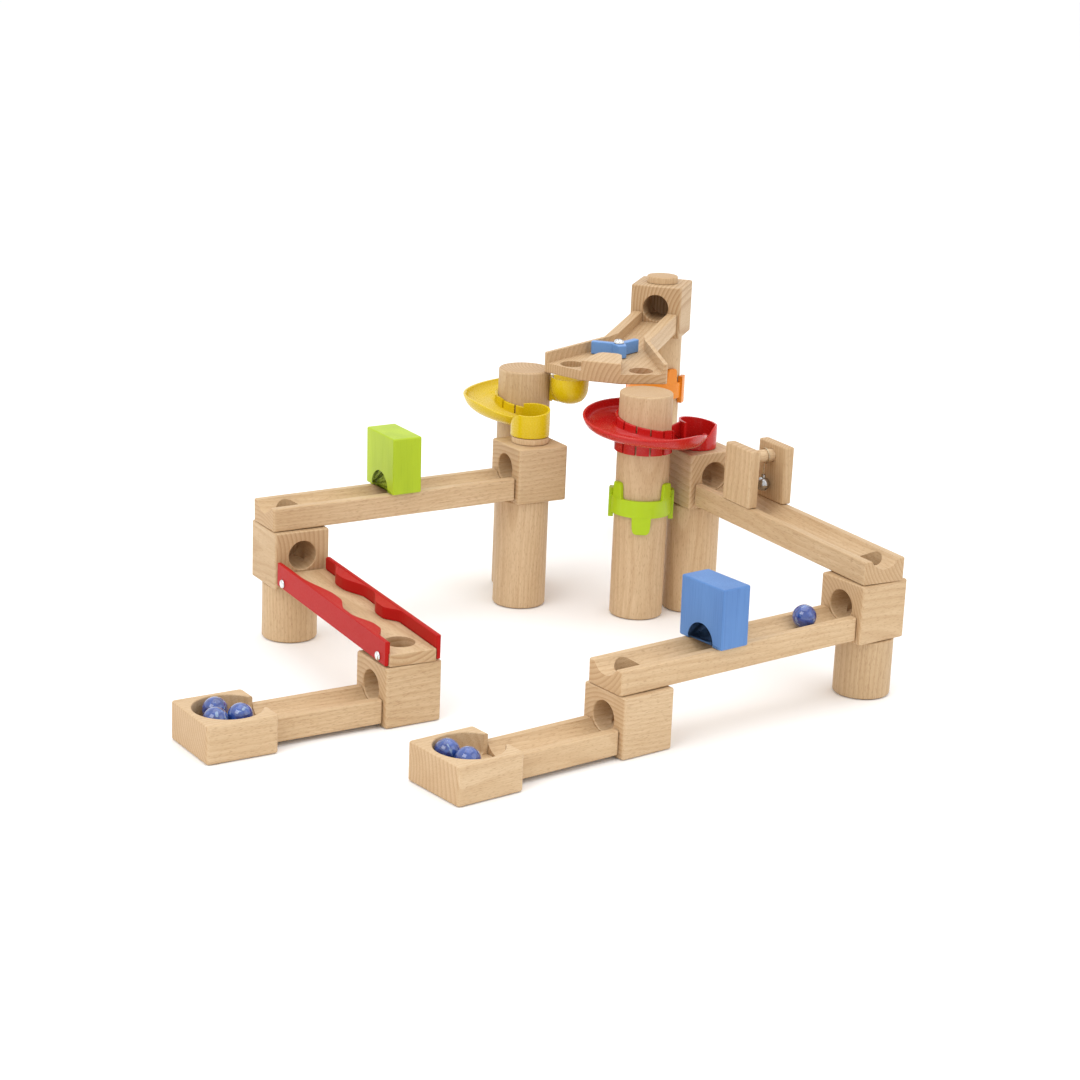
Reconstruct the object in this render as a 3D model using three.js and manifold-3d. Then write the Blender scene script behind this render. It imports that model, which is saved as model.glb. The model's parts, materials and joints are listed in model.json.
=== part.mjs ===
// Wooden marble run: beech columns, cubes and grooved ramps with plastic effect pieces.
// Units are millimetres, +Z is up and the floor is z = 0.
import * as THREE from "three";
import { mergeVertices } from "three/addons/utils/BufferGeometryUtils.js";
import Module from "manifold-3d";

const wasm = await Module();
wasm.setup();

// Driving dimensions
const GAP = 0.3;
const CUBE = 40;
const BORE_R = 10;
const BORE_AXIS_Z = 23;
const CHAMFER = 1.2;
const COLUMN_R = 19;
const RAMP_W = 33;
const RAMP_H = 16;
const GROOVE_R = 12.5;
const GROOVE_DEPTH = 6.5;
const LEDGE = 2.8;
const TONGUE = { length: 6, width: 16, low: 1, high: 6 };
const BOARD_T = 8.3;
const BOARD_LEDGE = 4;
const BOARD_END = 191.5;
const TRAY = { along: 48, across: 52, high: 25, bowl: 21.8, bowlX: 2, floor: 11.5, mouth: 10.5 };
const MARBLE_R = 8;
const ARCH = { along: 22, across: 41, high: 40, r: 11, straight: 1 };
const GATE = { along: 32, high: 40.5, thick: 8, inner: 10.25, place: 72.5 };
const DOWEL = { r: 4.5, drop: 8.5 };
const BELL = { r: 5, y: 4.7, drop: 20.3 };
const SPIRAL = { cupR: 34.5, ringR: 43.8, ringOut: 14, sweep: 295, collarIn: 19.3, collarOut: 21.3 };
const SLITS = { first: 75, step: 28 };
const CLIP = {
  inner: 19.3, outer: 21.9, bandLow: 12, bandHigh: 24.5, prongTop: 36, hookLow: 7.5, hookHigh: 29,
};
const SWITCH_T = 15.1;
const SWITCH_FLOOR = 7.2;
const SWITCH_YAW = -105;
const SWITCH_PITCH = 1.85;
const PIN_S = 115;
const LEVER_REST = 32;

// Plan positions of the cubes: x, y, base height
const LEFT_TOP = [-30, 53, 80];
const LEFT_MID = [-191, -44, 40];
const LEFT_LOW = [-106, -193, 0];
const RIGHT_TOP = [92, 60, 80];
const RIGHT_MID = [195, -110, 40];
const RIGHT_LOW = [39, -230, 0];
const START = [67, 243, 164.2];
const TRAY_LEFT = [-207.8, -259.3];
const TRAY_RIGHT = [-58.5, -308];
const FRONT_TALL = [51, 38];
const LEFT_TALL = [-36, 99];
const BACK_TALL = [65.5, 243];
const TALL_H = 163.9;

// ---------- solid helpers ----------
function toSolid(source) {
  const plain = source.clone();
  for (const name of ["normal", "uv"]) {
    if (plain.getAttribute(name)) {
      plain.deleteAttribute(name);
    }
  }
  const g = mergeVertices(plain, 1e-4);
  const pos = g.getAttribute("position").array;
  const index = g.getIndex().array;
  const tris = [];
  let volume = 0;
  const a = new THREE.Vector3();
  const b = new THREE.Vector3();
  const c = new THREE.Vector3();
  for (let i = 0; i < index.length; i += 3) {
    const [p, q, r] = [index[i], index[i + 1], index[i + 2]];
    if (p === q || q === r || p === r) {
      continue;
    }
    a.fromArray(pos, 3 * p);
    b.fromArray(pos, 3 * q);
    c.fromArray(pos, 3 * r);
    volume += a.dot(b.cross(c));
    tris.push(p, q, r);
  }
  if (volume < 0) {
    for (let i = 0; i < tris.length; i += 3) {
      [tris[i + 1], tris[i + 2]] = [tris[i + 2], tris[i + 1]];
    }
  }
  const mesh = new wasm.Mesh({
    numProp: 3,
    vertProperties: new Float32Array(pos),
    triVerts: new Uint32Array(tris),
  });
  return new wasm.Manifold(mesh);
}

function toGeometry(solid) {
  const mesh = solid.simplify(0.02).getMesh();
  const g = new THREE.BufferGeometry();
  const xyz = new Float32Array(mesh.numVert * 3);
  for (let i = 0; i < mesh.numVert; i += 1) {
    for (let k = 0; k < 3; k += 1) {
      xyz[3 * i + k] = mesh.vertProperties[mesh.numProp * i + k];
    }
  }
  g.setAttribute("position", new THREE.BufferAttribute(xyz, 3));
  g.setIndex(new THREE.BufferAttribute(new Uint32Array(mesh.triVerts), 1));
  return g;
}

// A prism of a plan outline, standing on z = 0, with chamfered top and bottom edges.
function prism(points, height, chamfer = 0) {
  const shape = new THREE.Shape(points.map(([x, y]) => new THREE.Vector2(x, y)));
  const g = new THREE.ExtrudeGeometry(shape, {
    depth: height - 2 * chamfer,
    bevelEnabled: chamfer > 0,
    bevelThickness: chamfer,
    bevelSize: chamfer,
    bevelOffset: -chamfer,
    bevelSegments: 1,
    steps: 1,
  });
  g.translate(0, 0, chamfer);
  return toSolid(g);
}

// A block from x0 to x1, centred across y, standing on z = 0, with every edge chamfered.
function block(x0, x1, width, height, chamfer = CHAMFER) {
  const w = width / 2;
  const c = chamfer;
  const outline = [
    [x0 + c, -w], [x1 - c, -w], [x1, -w + c], [x1, w - c],
    [x1 - c, w], [x0 + c, w], [x0, w - c], [x0, -w + c],
  ];
  return prism(outline, height, chamfer);
}

function cutter(x0, x1, y0, y1, z0, z1) {
  return prism([[x0, y0], [x1, y0], [x1, y1], [x0, y1]], z1 - z0).translate([0, 0, z0]);
}

// A solid of revolution about Z from [radius, z] pairs that start and end on the axis.
function turned(profile, sides = 28) {
  const g = new THREE.LatheGeometry(profile.map(([r, z]) => new THREE.Vector2(r, z)), sides);
  g.rotateX(Math.PI / 2);
  return toSolid(g);
}

function rod(radius, z0, z1, sides = 24, topRadius = radius) {
  return turned([[0, z0], [radius, z0], [topRadius, z1], [0, z1]], sides);
}

// A solid swept through a row of matching convex loops of [x, y, z] points.
function swept(loops) {
  const count = loops[0].length;
  const xyz = [];
  const index = [];
  for (const loop of loops) {
    for (const p of loop) {
      xyz.push(...p);
    }
  }
  for (let i = 0; i + 1 < loops.length; i += 1) {
    for (let k = 0; k < count; k += 1) {
      const a = i * count + k;
      const b = i * count + ((k + 1) % count);
      index.push(a, b, b + count, a, b + count, a + count);
    }
  }
  const last = (loops.length - 1) * count;
  for (let k = 1; k + 1 < count; k += 1) {
    index.push(0, k + 1, k, last, last + k, last + k + 1);
  }
  const g = new THREE.BufferGeometry();
  g.setAttribute("position", new THREE.BufferAttribute(new Float32Array(xyz), 3));
  g.setIndex(index);
  return toSolid(g);
}

function polar(radius, degrees, z = 0) {
  const a = THREE.MathUtils.degToRad(degrees);
  return [radius * Math.cos(a), radius * Math.sin(a), z];
}

function sector(inner, outer, from, to, z0, z1, steps = 10) {
  const points = [];
  for (let i = 0; i <= steps; i += 1) {
    points.push(polar(outer, from + ((to - from) * i) / steps));
  }
  for (let i = steps; i >= 0; i -= 1) {
    points.push(polar(inner, from + ((to - from) * i) / steps));
  }
  return prism(points, z1 - z0).translate([0, 0, z0]);
}

// ---------- materials and meshes ----------
const group = new THREE.Group();
const BEECH = { color: 0xddb98a, roughness: 0.6, metalness: 0 };
const PLASTIC = { roughness: 0.32, metalness: 0 };
const METAL = { color: 0xc9ccd0, roughness: 0.2, metalness: 1 };

function add(name, solid, look) {
  const material = new THREE.MeshStandardMaterial(look);
  const mesh = new THREE.Mesh(toGeometry(solid), material);
  mesh.name = name;
  group.add(mesh);
}

function plastic(color) {
  return { ...PLASTIC, color };
}

// ---------- frames ----------
function heading(from, to) {
  return THREE.MathUtils.radToDeg(Math.atan2(to[1] - from[1], to[0] - from[0]));
}

function distance(from, to) {
  return Math.hypot(to[0] - from[0], to[1] - from[1]);
}

// Lays a solid from a frame whose x runs along the track into the scene.
function lay(solid, frame) {
  return solid.rotate([0, frame.pitch, 0]).rotate([0, 0, frame.yaw]).translate(frame.origin);
}

// The frame of a board leaving an upper cube and landing on a lower one. x = 0 is the cube's centre.
function trackFrame(from, yaw, x0, x1, z0, z1) {
  const pitch = THREE.MathUtils.radToDeg(Math.atan2(z0 - z1, x1 - x0));
  const rise = x0 * Math.tan(THREE.MathUtils.degToRad(pitch));
  return { origin: [from[0], from[1], z0 + rise], yaw, pitch };
}

const YAW_LEFT_TOP = heading(LEFT_TOP, LEFT_MID);
const YAW_RIGHT_TOP = heading(RIGHT_TOP, RIGHT_MID);
const YAW_RIGHT_MID = heading(RIGHT_MID, RIGHT_LOW);
const YAW_ZIGZAG = heading(LEFT_MID, LEFT_LOW);
const YAW_LEFT_LOW = heading(LEFT_LOW, TRAY_LEFT);
const YAW_RIGHT_LOW = heading(RIGHT_LOW, TRAY_RIGHT);

// ---------- columns and cubes ----------
function column(height) {
  const r = COLUMN_R;
  return turned([[0, 0], [r - 1, 0], [r, 1], [r, height - 1], [r - 1, height], [0, height]], 32);
}

function cube(place, yaw) {
  const half = CUBE / 2;
  const entry = rod(BORE_R, 14, 41).add(rod(BORE_R, 38.6, 40.4, 24, BORE_R + 1.8));
  const exit = rod(BORE_R, -9.5, 21).add(rod(BORE_R, 18.6, 20.4, 24, BORE_R + 1.8));
  const turnedExit = exit.rotate([0, 90, 0]).translate([0, 0, BORE_AXIS_Z]);
  const t = TONGUE;
  const slot = cutter(half - t.length - GAP, half + 1, -8.3, 8.3, LEDGE + t.low - GAP, LEDGE + t.high + GAP);
  const body = block(-half, half, CUBE, CUBE).subtract(entry).subtract(turnedExit).subtract(slot);
  return body.rotate([0, 0, yaw]).translate(place);
}

function addColumns() {
  add("column_left_short", column(39.7).translate([-191, -44, 0]), BEECH);
  add("column_right_short", column(39.7).translate([198, -111, 0]), BEECH);
  add("column_left_mid", column(79.7).translate([-34, 53, 0]), BEECH);
  add("column_right_mid", column(79.7).translate([90, 59, 0]), BEECH);
  add("column_left_tall", column(TALL_H).translate([...LEFT_TALL, 0]), BEECH);
  add("column_front_tall", column(TALL_H).translate([...FRONT_TALL, 0]), BEECH);
  add("column_back_tall", column(TALL_H).translate([...BACK_TALL, 0]), BEECH);
}

function addCubes() {
  add("cube_left_top", cube(LEFT_TOP, YAW_LEFT_TOP), BEECH);
  add("cube_left_mid", cube(LEFT_MID, YAW_ZIGZAG + 1), BEECH);
  add("cube_left_low", cube(LEFT_LOW, YAW_LEFT_LOW), BEECH);
  add("cube_right_top", cube(RIGHT_TOP, YAW_RIGHT_TOP), BEECH);
  add("cube_right_mid", cube(RIGHT_MID, YAW_RIGHT_MID), BEECH);
  add("cube_right_low", cube(RIGHT_LOW, YAW_RIGHT_LOW), BEECH);
  const start = cube([0, 0, 0], 0).rotate([0, 0, SWITCH_YAW]).translate(START);
  add("cube_start", start, BEECH);
  const plug = turned([[0, 32], [9.6, 32], [9.6, 40.3], [12, 40.3], [12, 44.3], [11, 45.3], [0, 45.3]]);
  add("start_plug", plug.translate(START), BEECH);
}

// ---------- ramps ----------
function ramp(x0, x1, dropX) {
  const t = TONGUE;
  const tongue = cutter(x0 - t.length, x0 + 2, -t.width / 2, t.width / 2, t.low, t.high);
  const length = x1 - x0 + 20;
  const groove = rod(GROOVE_R, 0, length, 40).rotate([0, 90, 0]);
  const z = RAMP_H - GROOVE_DEPTH + GROOVE_R;
  let body = block(x0, x1, RAMP_W, RAMP_H).add(tongue).subtract(groove.translate([x0 - 10, 0, z]));
  if (dropX) {
    body = body.subtract(rod(BORE_R, -1, RAMP_H + 1).translate([dropX, 0, 0]));
  }
  return body;
}

function longFrame(from, to) {
  const d = distance(from, to);
  return trackFrame(from, heading(from, to), 20 + GAP, d + 20, from[2] + LEDGE, from[2] + GAP);
}

function addLongRamp(name, from, to) {
  const d = distance(from, to);
  add(name, lay(ramp(20 + GAP, d + 20, d), longFrame(from, to)), BEECH);
}

function addShortRamp(name, from, tray) {
  const d = distance(from, tray);
  const frame = { origin: [from[0], from[1], LEDGE], yaw: heading(from, tray), pitch: 0 };
  const end = d - TRAY.along / 2 - GAP;
  const t = TONGUE;
  const far = cutter(end - 2, end + t.length, -t.width / 2, t.width / 2, t.low, t.high);
  add(name, lay(ramp(20 + GAP, end, 0).add(far), frame), BEECH);
}

// ---------- trays ----------
function tray(place, yaw) {
  const half = TRAY.along / 2;
  const t = TONGUE;
  const bowl = rod(TRAY.bowl, TRAY.floor, 30, 36).translate([TRAY.bowlX, 0, 0]);
  const mouth = cutter(4, half + 1, -TRAY.mouth, TRAY.mouth, TRAY.floor, 30);
  const slot = cutter(half - t.length - 2 * GAP, half + 1, -8.3, 8.3, LEDGE + t.low - GAP, LEDGE + t.high + GAP);
  const body = block(-half, half, TRAY.across, TRAY.high, 1.4).subtract(bowl).subtract(mouth).subtract(slot);
  return body.rotate([0, 0, yaw + 180]).translate([...place, 0]);
}

// ---------- zigzag ----------
function zigzagFrame() {
  const end = LEFT_MID[2] + GAP;
  return trackFrame(LEFT_MID, YAW_ZIGZAG, 20 + GAP, BOARD_END, LEFT_MID[2] + BOARD_LEDGE, end);
}

// One wavy side rail. side is +1 or -1, and bumps are [start, peak start, peak end, end].
function zigzagRail(side, bumps, reach) {
  const x0 = 22.5;
  const x1 = BOARD_END - 0.5;
  const wall = [[x0, 16.8], [x1, 16.8], [x1, 19.4], [x0, 19.4]];
  const line = [[x0, 16.2]];
  for (const [a, b, c, d] of bumps) {
    line.push([a, 16.2], [b, reach], [c, reach], [d, 16.2]);
  }
  line.push([x1, 16.2], [x1, 18], [x0, 18]);
  const flip = (points) => points.map(([x, y]) => [x, side * y]);
  const skirt = prism(flip(wall), 16, 0.4).translate([0, 0, 1]);
  const wave = prism(flip(line), 8, 0).translate([0, 0, BOARD_T + GAP]);
  let rail = skirt.add(wave);
  for (const x of [32, 181]) {
    const hole = rod(1.9, 0, 6, 12).rotate([90, 0, 0]).translate([x, side * 18 + 3, 4.8]);
    rail = rail.subtract(hole);
  }
  return rail;
}

function zigzagScrew(x, side) {
  const shank = turned([[0, 0], [1.4, 0], [1.4, 6.6], [3, 6.6], [2.4, 7.6], [0, 8]], 14);
  return shank.rotate([side > 0 ? -90 : 90, 0, 0]).translate([x, side * 13.2, 4.8]);
}

function addZigzag() {
  const frame = zigzagFrame();
  const t = TONGUE;
  const drop = distance(LEFT_MID, LEFT_LOW);
  const start = 20 + 3 * GAP;
  let board = block(start, BOARD_END, RAMP_W, BOARD_T, 0.8);
  board = board.add(cutter(start - 5.5, start + 2, -7.2, 7.2, 0.3, t.high - 1.5));
  board = board.subtract(rod(BORE_R, -1, 10).translate([drop, 0, 0]));
  for (const x of [32, 181]) {
    for (const side of [-1, 1]) {
      const pilot = rod(1.7, 12.7, 18, 12).rotate([side > 0 ? -90 : 90, 0, 0]);
      board = board.subtract(pilot.translate([x, 0, 4.8]));
      const where = `${side > 0 ? "far" : "near"}_${x < 100 ? "upper" : "lower"}`;
      add(`screw_${where}`, lay(zigzagScrew(x, side), frame), METAL);
    }
  }
  add("zigzag_board", lay(board, frame), BEECH);
  const red = plastic(0xc41420);
  const farBumps = [[36, 58, 64, 90], [98, 120, 127, 141]];
  const nearBumps = [[55, 96, 103, 124], [133, 157, 163, 177]];
  add("zigzag_rail_far", lay(zigzagRail(1, farBumps, 8.6), frame), red);
  add("zigzag_rail_near", lay(zigzagRail(-1, nearBumps, 10), frame), red);
}

// ---------- arch blocks ----------
function arch() {
  const w = ARCH.across / 2;
  const points = [[-w, 0], [-ARCH.r, 0], [-ARCH.r, ARCH.straight]];
  for (let a = 165; a >= 0; a -= 15) {
    const [y, z] = polar(ARCH.r, a);
    points.push([y, z + ARCH.straight]);
  }
  points.push([ARCH.r, 0], [w, 0], [w, ARCH.high], [-w, ARCH.high]);
  const body = prism(points, ARCH.along, 1.1);
  return body.rotate([90, 0, 90]).translate([-ARCH.along / 2, 0, 0]);
}

function onRamp(solid, from, to, x) {
  return lay(solid.translate([x, 0, RAMP_H + GAP]), longFrame(from, to));
}

// ---------- bell gate ----------
function gateBoard(side) {
  const x = GATE.along / 2;
  const y = GATE.inner + GATE.thick / 2;
  const board = block(-x, x, GATE.thick, GATE.high, 1).translate([0, side * y, 0]);
  const socket = rod(DOWEL.r + GAP, -5, GATE.inner + 5.3).rotate([side > 0 ? -90 : 90, 0, 0]);
  return board.subtract(socket.translate([0, 0, GATE.high - DOWEL.drop]));
}

function bellShell() {
  const r = BELL.r;
  const inner = r - 0.9;
  const profile = [[0, -r]];
  const hollow = [[0, -inner]];
  for (let a = -67.5; a <= 67.5; a += 22.5) {
    const [x, z] = polar(1, a);
    profile.push([r * x, r * z]);
    hollow.push([inner * x, inner * z]);
  }
  profile.push([0, r]);
  hollow.push([0, inner]);
  let shell = turned(profile, 16).subtract(turned(hollow, 16));
  shell = shell.add(rod(1.5, r - 0.5, r + 1.8, 12)).subtract(rod(0.8, r + 0.5, r + 3, 12));
  shell = shell.subtract(cutter(-0.6, 0.6, -4.5, 4.5, -6, -0.5));
  return shell.subtract(cutter(-4.5, 4.5, -0.6, 0.6, -6, -0.5));
}

function bellHanger() {
  const ring = toSolid(new THREE.TorusGeometry(5.3, 0.4, 8, 24)).rotate([90, 0, 0]);
  return ring.add(rod(0.4, -BELL.drop + BELL.r + 0.8, -5.2, 10));
}

function addGate() {
  const spot = (solid) => onRamp(solid, RIGHT_TOP, RIGHT_MID, GATE.place);
  add("gate_board_near", spot(gateBoard(-1)), BEECH);
  add("gate_board_far", spot(gateBoard(1)), BEECH);
  const z = GATE.high - DOWEL.drop;
  const half = GATE.inner + 5;
  const dowel = rod(DOWEL.r, -half, half).rotate([90, 0, 0]).translate([0, 0, z]);
  add("gate_dowel", spot(dowel), BEECH);
  add("bell_hanger", spot(bellHanger().translate([0, BELL.y, z])), METAL);
  add("bell_shell", spot(bellShell().translate([0, BELL.y, z - BELL.drop])), METAL);
  const ball = toSolid(new THREE.SphereGeometry(1.5, 10, 8));
  add("bell_ball", spot(ball.translate([0, BELL.y, z - BELL.drop - 2.4])), METAL);
}

// ---------- spirals ----------
function ease(t) {
  const u = Math.min(Math.max(t, 0), 1);
  return u * u * (3 - 2 * u);
}

function channelFloor(angle) {
  return 16.6 - 0.000165 * angle * angle;
}

function channelRim(angle) {
  return 29 - 9.8 * ease((angle - 20) / 170) - 7 * ease((angle - 225) / 65);
}

function channelSection(angle, inside) {
  const f = channelFloor(angle);
  const rim = channelRim(angle);
  const outer = [
    [20, rim], [20, f + 3], [23, f + 0.8], [28, f], [34, f], [39, f + 1.2], [42.3, f + 4],
    [44, f + 6.5], [44.5, rim],
  ];
  const hollow = [
    [21.3, rim + 16], [21.3, f + 4.4], [24, f + 2.6], [28.5, f + 1.8], [33.6, f + 1.8], [38, f + 3],
    [40.9, f + 5.2], [42.3, f + 7.4], [42.7, rim + 16],
  ];
  return (inside ? hollow : outer).map(([r, z]) => polar(r, angle, z));
}

function channel(inside) {
  const loops = [];
  for (let a = 0; a <= 288; a += 18) {
    loops.push(channelSection(a, inside));
  }
  return swept(loops);
}

// A band of the collar's thickness round the column, from its bottom(angle) to its top(angle).
function collarBand(from, to, step, bottom, top) {
  const loops = [];
  for (let a = from; a <= to; a += step) {
    loops.push([
      polar(SPIRAL.collarIn, a, top(a)), polar(SPIRAL.collarOut, a, top(a)),
      polar(SPIRAL.collarOut, a, bottom(a)), polar(SPIRAL.collarIn, a, bottom(a)),
    ]);
  }
  return swept(loops);
}

// The ring that the marble drops through: its rim is tilted and falls away towards the channel.
function dropRing() {
  const high = cutter(-30, 30, -30, 30, 0, 30).rotate([0, 7.7, 0]).rotate([0, 0, SPIRAL.sweep - 25]);
  const loops = [];
  for (let i = 0; i <= 4; i += 1) {
    const a = SPIRAL.sweep - 107 + 16 * i;
    const z = 8 + 2.15 * i;
    loops.push([polar(18, a, z), polar(10, a, z), polar(10, a, 40), polar(18, a, 40)]);
  }
  return rod(SPIRAL.ringOut, 0, 22, 28).subtract(high.translate([0, 0, 18.2])).subtract(swept(loops));
}

// A short wall from the end of the collar out to the ring, which turns the marble towards the hole.
function guideWall() {
  const side = (r, top) => [[r, 0.8, top], [r, -0.8, top], [r, -0.8, 3], [r, 0.8, 3]];
  return swept([side(20, 15.5), side(31, 19.4)]).rotate([0, 0, SPIRAL.sweep + 4]);
}

function spiral(skirtEnd) {
  const cup = turned([[0, 16.6], [6, 17.4], [10.5, 20], [13.2, 25], [13.8, 31], [13.8, 36], [0, 36]], 20);
  const bowl = [[0, 18.4], [5.4, 19.1], [9.4, 21.4], [11.7, 26], [12.2, 31], [12.2, 45], [0, 45]];
  const cupIn = turned(bowl, 20);
  const ringIn = rod(SPIRAL.ringOut - 1.6, 2.2, 30, 28).add(rod(9.6, -1, 3, 20));
  const cupSpot = polar(SPIRAL.cupR, 0);
  const ringSpot = polar(SPIRAL.ringR, SPIRAL.sweep);
  let body = channel(false).add(cup.translate(cupSpot)).add(dropRing().translate(ringSpot));
  body = body.subtract(channel(true)).subtract(cupIn.translate(cupSpot)).subtract(ringIn.translate(ringSpot));
  body = body.add(collarBand(0, 300, 20, channelFloor, (a) => 32.4 - 0.0615 * a));
  body = body.add(collarBand(85, skirtEnd, 10, () => 1.6, (a) => channelFloor(a) + 1));
  body = body.add(guideWall()).subtract(rod(SPIRAL.collarIn, -2, 60, 36));
  for (let a = SLITS.first; a <= 275; a += SLITS.step) {
    const foot = channelFloor(a);
    body = body.subtract(cutter(18, 22, -0.6, 0.6, foot + 5.2, 50).rotate([0, 0, a]));
    if (a > 90 && a < skirtEnd) {
      body = body.subtract(cutter(18, 23, -0.7, 0.7, 0, foot - 0.3).rotate([0, 0, a]));
    }
  }
  return body;
}

function addSpirals() {
  const end = SPIRAL.sweep;
  const red = spiral(245).rotate([0, 0, 28 - end]).translate([...FRONT_TALL, 120.3]);
  add("spiral_red", red, plastic(0xc8141c));
  const yellow = spiral(195).rotate([0, 0, 277.4 - end]).translate([...LEFT_TALL, 124.6]);
  add("spiral_yellow", yellow, plastic(0xf2c500));
  const spacer = rod(13.4, 120.3, 124.3).subtract(rod(BORE_R, 119, 126));
  add("spacer_ring", spacer.translate([LEFT_TOP[0], LEFT_TOP[1], 0]), BEECH);
}

// ---------- clips ----------
function clip() {
  const c = CLIP;
  let body = sector(c.inner, c.outer, -105, 105, c.bandLow, c.bandHigh, 24);
  for (const side of [-1, 1]) {
    const [a, b] = side > 0 ? [44, 70] : [-70, -44];
    body = body.add(sector(c.inner, c.outer, a, b, c.bandHigh - 1, c.prongTop - 2, 5));
    body = body.add(sector(c.inner, c.outer, a + 3, b - 3, c.prongTop - 3, c.prongTop, 4));
    const [p, q] = side > 0 ? [84, 104] : [-104, -84];
    body = body.add(sector(c.inner + 0.4, c.outer + 1.4, p, q, c.hookLow, c.hookHigh, 3));
  }
  const tongue = [[-19, c.bandLow + 1], [-17, 2], [-13, 0], [13, 0], [17, 2], [19, c.bandLow + 1]];
  const loops = [c.inner, c.outer].map((r) => tongue.map(([a, z]) => polar(r, a, z)));
  return body.add(swept(loops).subtract(rod(c.inner, -1, 40, 48)));
}

function addClips() {
  const green = clip().rotate([0, 0, 270]).translate([...FRONT_TALL, 64.3]);
  add("clip_green", green, plastic(0x7cc414));
  const orange = clip().rotate([0, 0, -111]).translate([...BACK_TALL, 103]);
  add("clip_orange", orange, plastic(0xf07818));
}

// ---------- switch ----------
function mirrored(points) {
  const back = points.map(([x, y]) => [x, -y]).reverse();
  return [...points, ...back];
}

function switchFrame() {
  const yaw = SWITCH_YAW;
  const exit = polar(CUBE / 2 + GAP, yaw);
  return { origin: [START[0] + exit[0], START[1] + exit[1], 168.8], yaw, pitch: SWITCH_PITCH };
}

function switchBlock() {
  const outline = mirrored([[167, 15], [153.5, 46], [90, 17.5], [0, 17.5]]);
  let body = prism(outline.reverse(), SWITCH_T, 0.9);
  body = body.add(cutter(-5.5, 2, -7.2, 7.2, 0.4, 3.8));
  const pocket = [[-1, 10], [78, 10], [90.3, 13.5], [168, 48.9], [190, 40], [190, 19.5], [150, 11], [138, 7]];
  const cut = prism(mirrored(pocket).reverse(), 12).translate([0, 0, SWITCH_FLOOR]);
  body = body.subtract(cut).subtract(rod(2, 1.6, 12, 14).translate([PIN_S, 0, 0]));
  for (const side of [-1, 1]) {
    body = body.subtract(rod(8.7, -1, 10).translate([150.5, side * 25.5, 0]));
  }
  return body;
}

// Two arms that open upstream and a short nose that points downstream, turned about the pin.
function switchLever() {
  let body = prism([[-4, -5], [9, -3.2], [9, 3.2], [-4, 5]], 9.5, 0.7);
  for (const side of [-1, 1]) {
    const arm = block(-1, 20.5, 5, 9.5, 0.7).rotate([0, 0, side * 122]);
    body = body.add(arm);
  }
  const hub = rod(5, 0, 9.5, 20);
  body = body.add(hub).subtract(rod(2, -1, 12, 14)).rotate([0, 0, LEVER_REST]);
  return body.translate([PIN_S, 0, SWITCH_FLOOR + 0.4]);
}

function addSwitch() {
  const frame = switchFrame();
  add("switch_block", lay(switchBlock(), frame), BEECH);
  add("switch_lever", lay(switchLever(), frame), plastic(0x5b8fd6));
  const top = SWITCH_FLOOR + 10.2;
  const head = [[1.7, top], [3.8, top], [3.4, top + 1.6], [1.6, top + 2.6], [0, top + 2.8]];
  const pin = turned([[0, 2], [1.7, 2], ...head], 16);
  add("switch_pin", lay(pin.translate([PIN_S, 0, 0]), frame), METAL);
}

// ---------- marbles ----------
function marble() {
  return toSolid(new THREE.SphereGeometry(MARBLE_R, 16, 10));
}

function addMarbles() {
  const blue = { color: 0x1f4fb0, roughness: 0.08, metalness: 0 };
  const z = TRAY.floor + MARBLE_R + GAP;
  const left = [[-8.4, -4.6], [-1, 11.6], [8.4, -4.8]];
  const right = [[-6.6, 10.2], [-4, -7.2]];
  const inTray = (place, yaw, [x, y]) => {
    const [dx, dy] = polar(Math.hypot(x, y), yaw + 180 + THREE.MathUtils.radToDeg(Math.atan2(y, x)));
    return marble().translate([place[0] + dx, place[1] + dy, z]);
  };
  left.forEach((at, i) => add(`marble_left_${i + 1}`, inTray(TRAY_LEFT, YAW_LEFT_LOW, at), blue));
  right.forEach((at, i) => add(`marble_right_${i + 1}`, inTray(TRAY_RIGHT, YAW_RIGHT_LOW, at), blue));
  const lift = RAMP_H - GROOVE_DEPTH + MARBLE_R + GAP;
  const rolling = lay(marble().translate([52, 0, lift]), longFrame(RIGHT_MID, RIGHT_LOW));
  add("marble_rolling", rolling, blue);
}

// ---------- assembly ----------
addColumns();
addCubes();
addLongRamp("ramp_left_long", LEFT_TOP, LEFT_MID);
addLongRamp("ramp_right_upper", RIGHT_TOP, RIGHT_MID);
addLongRamp("ramp_right_lower", RIGHT_MID, RIGHT_LOW);
addShortRamp("ramp_left_short", LEFT_LOW, TRAY_LEFT);
addShortRamp("ramp_right_short", RIGHT_LOW, TRAY_RIGHT);
addZigzag();
add("tray_left", tray(TRAY_LEFT, YAW_LEFT_LOW), BEECH);
add("tray_right", tray(TRAY_RIGHT, YAW_RIGHT_LOW), BEECH);
const archFromTop = distance(LEFT_TOP, LEFT_MID) - 79;
add("arch_green", onRamp(arch(), LEFT_TOP, LEFT_MID, archFromTop), { color: 0x8ac81e, roughness: 0.45 });
const archFromMid = distance(RIGHT_MID, RIGHT_LOW) - 67;
add("arch_blue", onRamp(arch(), RIGHT_MID, RIGHT_LOW, archFromMid), { color: 0x5f97dc, roughness: 0.45 });
addGate();
addSpirals();
addClips();
addSwitch();
addMarbles();

// The finished run stands on the floor with its bounding box centred on the origin.
const bounds = new THREE.Box3().setFromObject(group);
const centre = bounds.getCenter(new THREE.Vector3());
for (const mesh of group.children) {
  mesh.geometry.translate(-centre.x, -centre.y, -bounds.min.z);
}

export default group;
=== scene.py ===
import json
import math

import bmesh
import bpy
from mathutils import Euler, Matrix, Vector


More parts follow.
